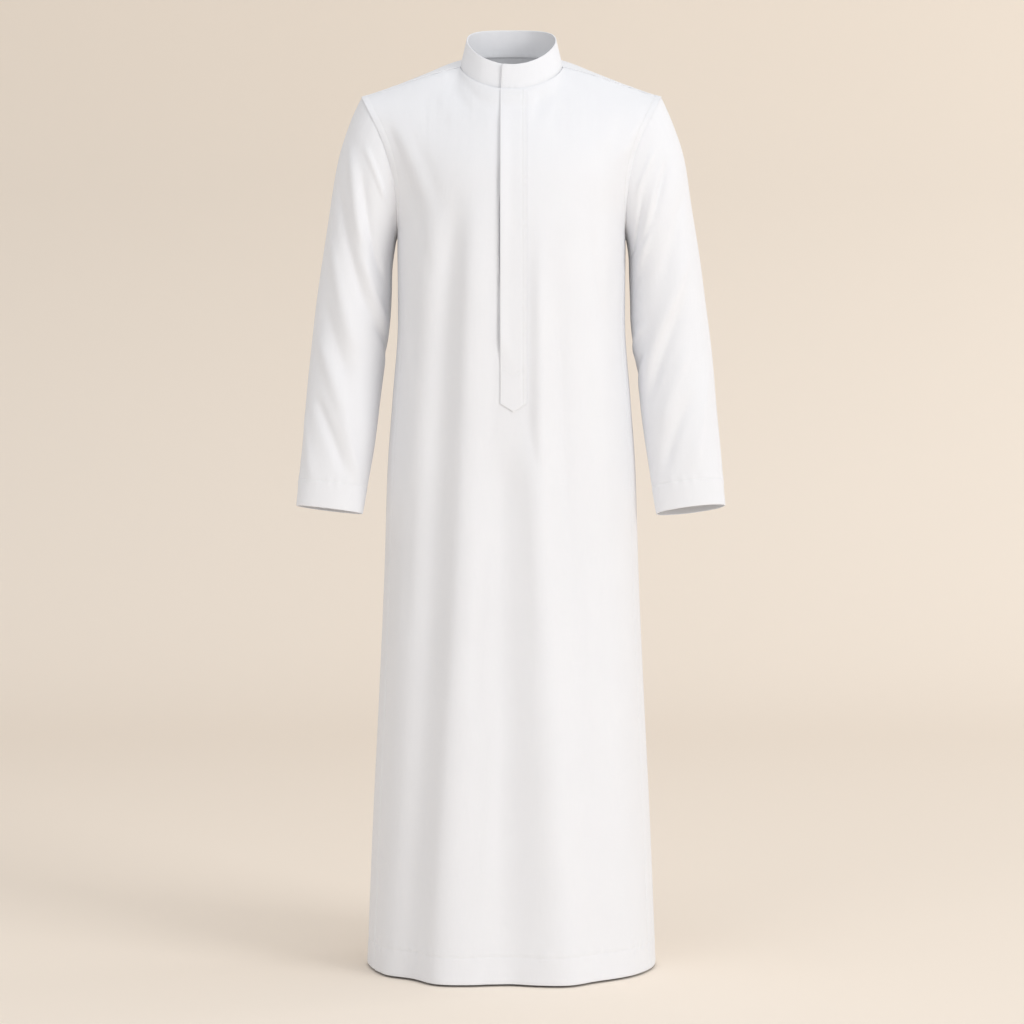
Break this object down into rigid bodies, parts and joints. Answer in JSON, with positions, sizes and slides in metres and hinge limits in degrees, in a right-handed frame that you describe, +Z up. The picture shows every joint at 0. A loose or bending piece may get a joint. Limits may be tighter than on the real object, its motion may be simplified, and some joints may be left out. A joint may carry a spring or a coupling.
{
  "type": "thobe robe",
  "caption": "Ankle-length white thobe, worn form with no wearer: band collar, concealed placket with a pointed end, long set-in sleeves with plain cuffs.",
  "frame": {"origin": "middle of the neck, level with the upper ends of the armholes' shoulder seams, where the wearer's shoulders hold it up", "axes": "+Z up, -Y the way the wearer faces, +X towards the wearer's left"},
  "size_m": [0.6727, 0.3599, 1.4875],
  "materials": {
    "white_cloth": "matt plain weave",
    "white_cloth_inside": "matt plain weave, seen from its back"
  },
  "bodies": {
    "root": {"front_panel": "white_cloth", "back_panel": "white_cloth", "yoke": "white_cloth", "sleeve_left": "white_cloth", "sleeve_right": "white_cloth", "cuff_left": "white_cloth", "cuff_right": "white_cloth", "collar_band": "white_cloth", "placket": "white_cloth", "placket_under": "white_cloth_inside"}
  },
  "joints": []
}
